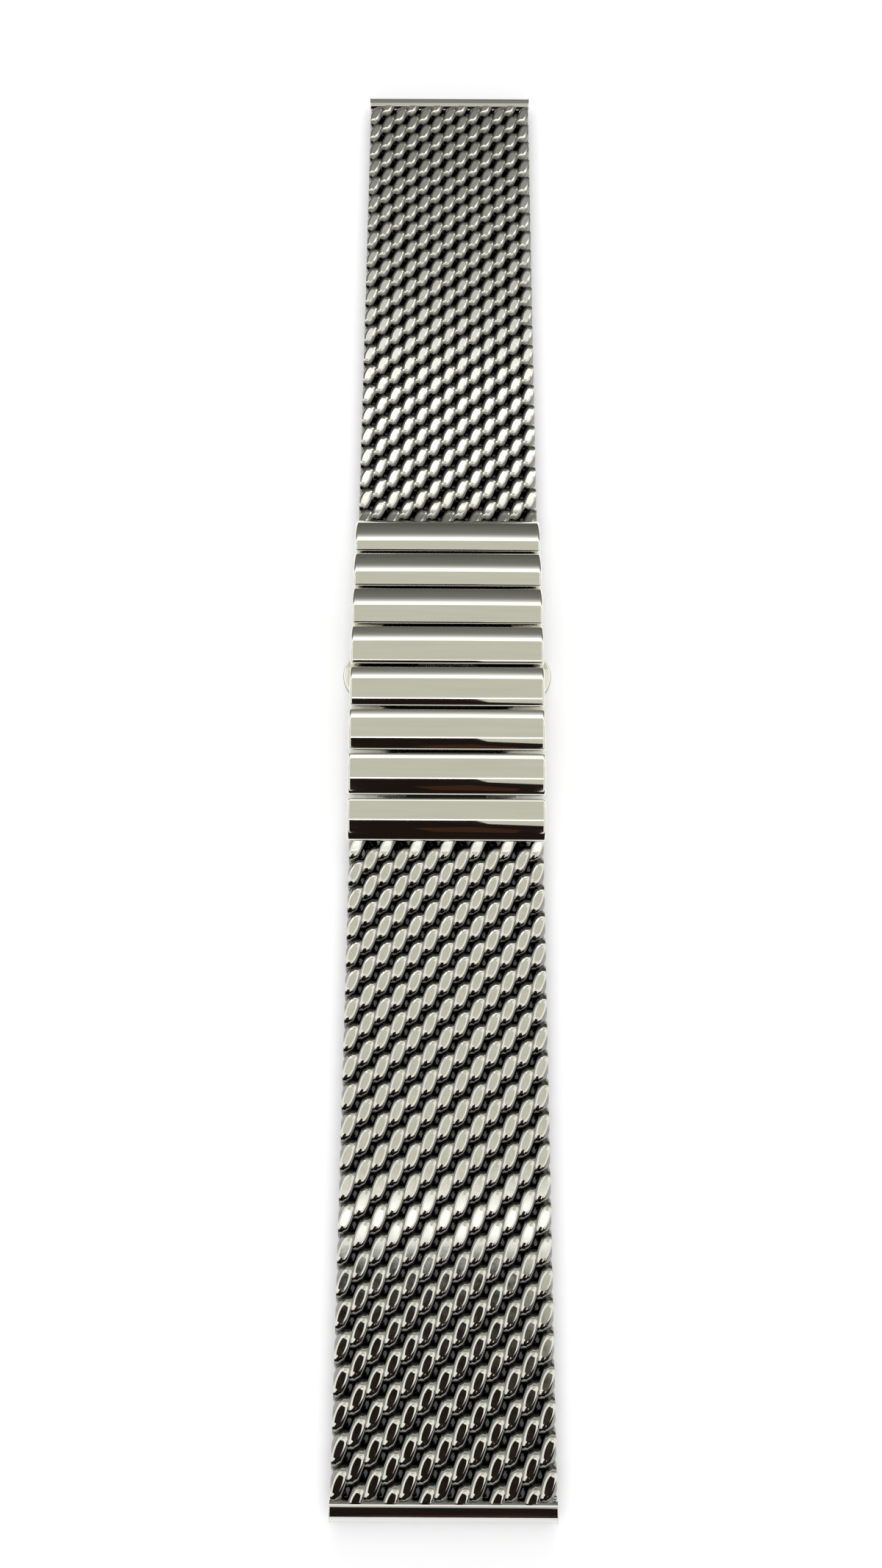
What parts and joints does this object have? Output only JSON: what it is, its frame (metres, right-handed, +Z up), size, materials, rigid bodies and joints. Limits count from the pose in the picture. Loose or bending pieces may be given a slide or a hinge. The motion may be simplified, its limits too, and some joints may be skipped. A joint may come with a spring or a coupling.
{
  "type": "milanese mesh watch band with butterfly clasp",
  "caption": "Straight-ended woven steel mesh watch band, closed by a double-fold clasp with side push buttons under full-width polished links.",
  "frame": {"origin": "on the table under the middle of the closed clasp", "axes": "+X across the band, +Y along it, +Z up from the table to the outer side"},
  "size_m": [0.0244, 0.1768, 0.0059],
  "materials": {
    "mesh_wire": "polished woven steel wire, ground flat",
    "polished_link": "mirror-polished steel",
    "pin": "drawn steel pin",
    "clasp": "fine brushed steel",
    "end_cap": "polished steel",
    "button": "polished steel",
    "spring": "spring steel"
  },
  "bodies": {
    "clasp_body": {"clasp_body": "clasp", "latch_cover": "clasp", "hinge_pin_far": "pin", "hinge_pin_near": "pin", "latch_spring_right": "spring", "latch_spring_left": "spring"},
    "push_button_right": {"push_button_right": "button", "latch_hook_right": "clasp"},
    "push_button_left": {"push_button_left": "button", "latch_hook_left": "clasp"},
    "wing_far": {"wing_far": "clasp"},
    "link_far_1": {"link_far_1": "polished_link", "wing_pin_far": "pin", "link_pin_far_1": "pin"},
    "link_far_2": {"link_far_2": "polished_link", "link_pin_far_2": "pin"},
    "link_far_3": {"link_far_3": "polished_link", "link_pin_far_3": "pin"},
    "link_far_4": {"link_far_4": "polished_link", "mesh_far_1": "mesh_wire"},
    "mesh_far_2": {"mesh_far_2": "mesh_wire"},
    "mesh_far_3": {"mesh_far_3": "mesh_wire"},
    "mesh_far_4": {"mesh_far_4": "mesh_wire"},
    "mesh_far_5": {"mesh_far_5": "mesh_wire"},
    "mesh_far_6": {"mesh_far_6": "mesh_wire", "end_cap_far": "end_cap"},
    "wing_near": {"wing_near": "clasp"},
    "link_near_1": {"link_near_1": "polished_link", "wing_pin_near": "pin", "link_pin_near_1": "pin"},
    "link_near_2": {"link_near_2": "polished_link", "link_pin_near_2": "pin"},
    "link_near_3": {"link_near_3": "polished_link", "link_pin_near_3": "pin"},
    "link_near_4": {"link_near_4": "polished_link", "mesh_near_1": "mesh_wire"},
    "mesh_near_2": {"mesh_near_2": "mesh_wire"},
    "mesh_near_3": {"mesh_near_3": "mesh_wire"},
    "mesh_near_4": {"mesh_near_4": "mesh_wire"},
    "mesh_near_5": {"mesh_near_5": "mesh_wire"},
    "mesh_near_6": {"mesh_near_6": "mesh_wire", "end_cap_near": "end_cap"}
  },
  "joints": [
    {"name": "wing_far_hinge", "type": "hinge", "parent": "clasp_body", "child": "wing_far", "pos_m": [0, 0.0145, 0.0009], "axis": [1, 0, 0], "range_deg": [-165, 0]},
    {"name": "link_far_1_hinge", "type": "hinge", "parent": "wing_far", "child": "link_far_1", "pos_m": [0, 0.00098, 0.00418], "axis": [1, 0, 0], "range_deg": [0, 82.5]},
    {"name": "link_far_2_hinge", "type": "hinge", "parent": "link_far_1", "child": "link_far_2", "pos_m": [0, 0.00403, 0.00408], "axis": [-1, 0, 0], "range_deg": [-12, 0.4]},
    {"name": "link_far_3_hinge", "type": "hinge", "parent": "link_far_2", "child": "link_far_3", "pos_m": [0, 0.00914, 0.00367], "axis": [-1, 0, 0], "range_deg": [-12, 0.6]},
    {"name": "link_far_4_hinge", "type": "hinge", "parent": "link_far_3", "child": "link_far_4", "pos_m": [0, 0.0142, 0.00294], "axis": [-1, 0, 0], "range_deg": [-12, 10]},
    {"name": "mesh_far_2_hinge", "type": "hinge", "parent": "link_far_4", "child": "mesh_far_2", "pos_m": [0, 0.03227, 0.00115], "axis": [-1, 0, 0], "range_deg": [-8, 24]},
    {"name": "mesh_far_3_hinge", "type": "hinge", "parent": "mesh_far_2", "child": "mesh_far_3", "pos_m": [0, 0.04295, 0.00115], "axis": [-1, 0, 0], "range_deg": [-8, 24]},
    {"name": "mesh_far_4_hinge", "type": "hinge", "parent": "mesh_far_3", "child": "mesh_far_4", "pos_m": [0, 0.05362, 0.00115], "axis": [-1, 0, 0], "range_deg": [-8, 24]},
    {"name": "mesh_far_5_hinge", "type": "hinge", "parent": "mesh_far_4", "child": "mesh_far_5", "pos_m": [0, 0.0643, 0.00115], "axis": [-1, 0, 0], "range_deg": [-8, 24]},
    {"name": "mesh_far_6_hinge", "type": "hinge", "parent": "mesh_far_5", "child": "mesh_far_6", "pos_m": [0, 0.07497, 0.00115], "axis": [-1, 0, 0], "range_deg": [-8, 24]},
    {"name": "wing_near_hinge", "type": "hinge", "parent": "clasp_body", "child": "wing_near", "pos_m": [0, -0.0145, 0.0009], "axis": [-1, 0, 0], "range_deg": [-165, 0]},
    {"name": "link_near_1_hinge", "type": "hinge", "parent": "wing_near", "child": "link_near_1", "pos_m": [0, -0.00098, 0.00418], "axis": [-1, 0, 0], "range_deg": [0, 82.5]},
    {"name": "link_near_2_hinge", "type": "hinge", "parent": "link_near_1", "child": "link_near_2", "pos_m": [0, -0.00403, 0.00408], "axis": [1, 0, 0], "range_deg": [-12, 0.4]},
    {"name": "link_near_3_hinge", "type": "hinge", "parent": "link_near_2", "child": "link_near_3", "pos_m": [0, -0.00914, 0.00367], "axis": [1, 0, 0], "range_deg": [-12, 0.6]},
    {"name": "link_near_4_hinge", "type": "hinge", "parent": "link_near_3", "child": "link_near_4", "pos_m": [0, -0.0142, 0.00294], "axis": [1, 0, 0], "range_deg": [-12, 10]},
    {"name": "mesh_near_2_hinge", "type": "hinge", "parent": "link_near_4", "child": "mesh_near_2", "pos_m": [0, -0.03227, 0.00115], "axis": [1, 0, 0], "range_deg": [-8, 24]},
    {"name": "mesh_near_3_hinge", "type": "hinge", "parent": "mesh_near_2", "child": "mesh_near_3", "pos_m": [0, -0.04295, 0.00115], "axis": [1, 0, 0], "range_deg": [-8, 24]},
    {"name": "mesh_near_4_hinge", "type": "hinge", "parent": "mesh_near_3", "child": "mesh_near_4", "pos_m": [0, -0.05362, 0.00115], "axis": [1, 0, 0], "range_deg": [-8, 24]},
    {"name": "mesh_near_5_hinge", "type": "hinge", "parent": "mesh_near_4", "child": "mesh_near_5", "pos_m": [0, -0.0643, 0.00115], "axis": [1, 0, 0], "range_deg": [-8, 24]},
    {"name": "mesh_near_6_hinge", "type": "hinge", "parent": "mesh_near_5", "child": "mesh_near_6", "pos_m": [0, -0.07497, 0.00115], "axis": [1, 0, 0], "range_deg": [-8, 24]},
    {"name": "push_button_right_slide", "type": "slide", "parent": "clasp_body", "child": "push_button_right", "axis": [-1, 0, 0], "range_m": [0, 0.0007], "stiffness_N_per_m": 2500, "springref_m": -0.0005, "deforming": ["latch_spring_right"]},
    {"name": "push_button_left_slide", "type": "slide", "parent": "clasp_body", "child": "push_button_left", "axis": [1, 0, 0], "range_m": [0, 0.0007], "stiffness_N_per_m": 2500, "springref_m": -0.0005, "deforming": ["latch_spring_left"]}
  ],
  "couplings": [
    {"joint": "link_far_1_hinge", "follows": "wing_far_hinge", "ratio": -0.5},
    {"joint": "link_near_1_hinge", "follows": "wing_near_hinge", "ratio": -0.5}
  ]
}
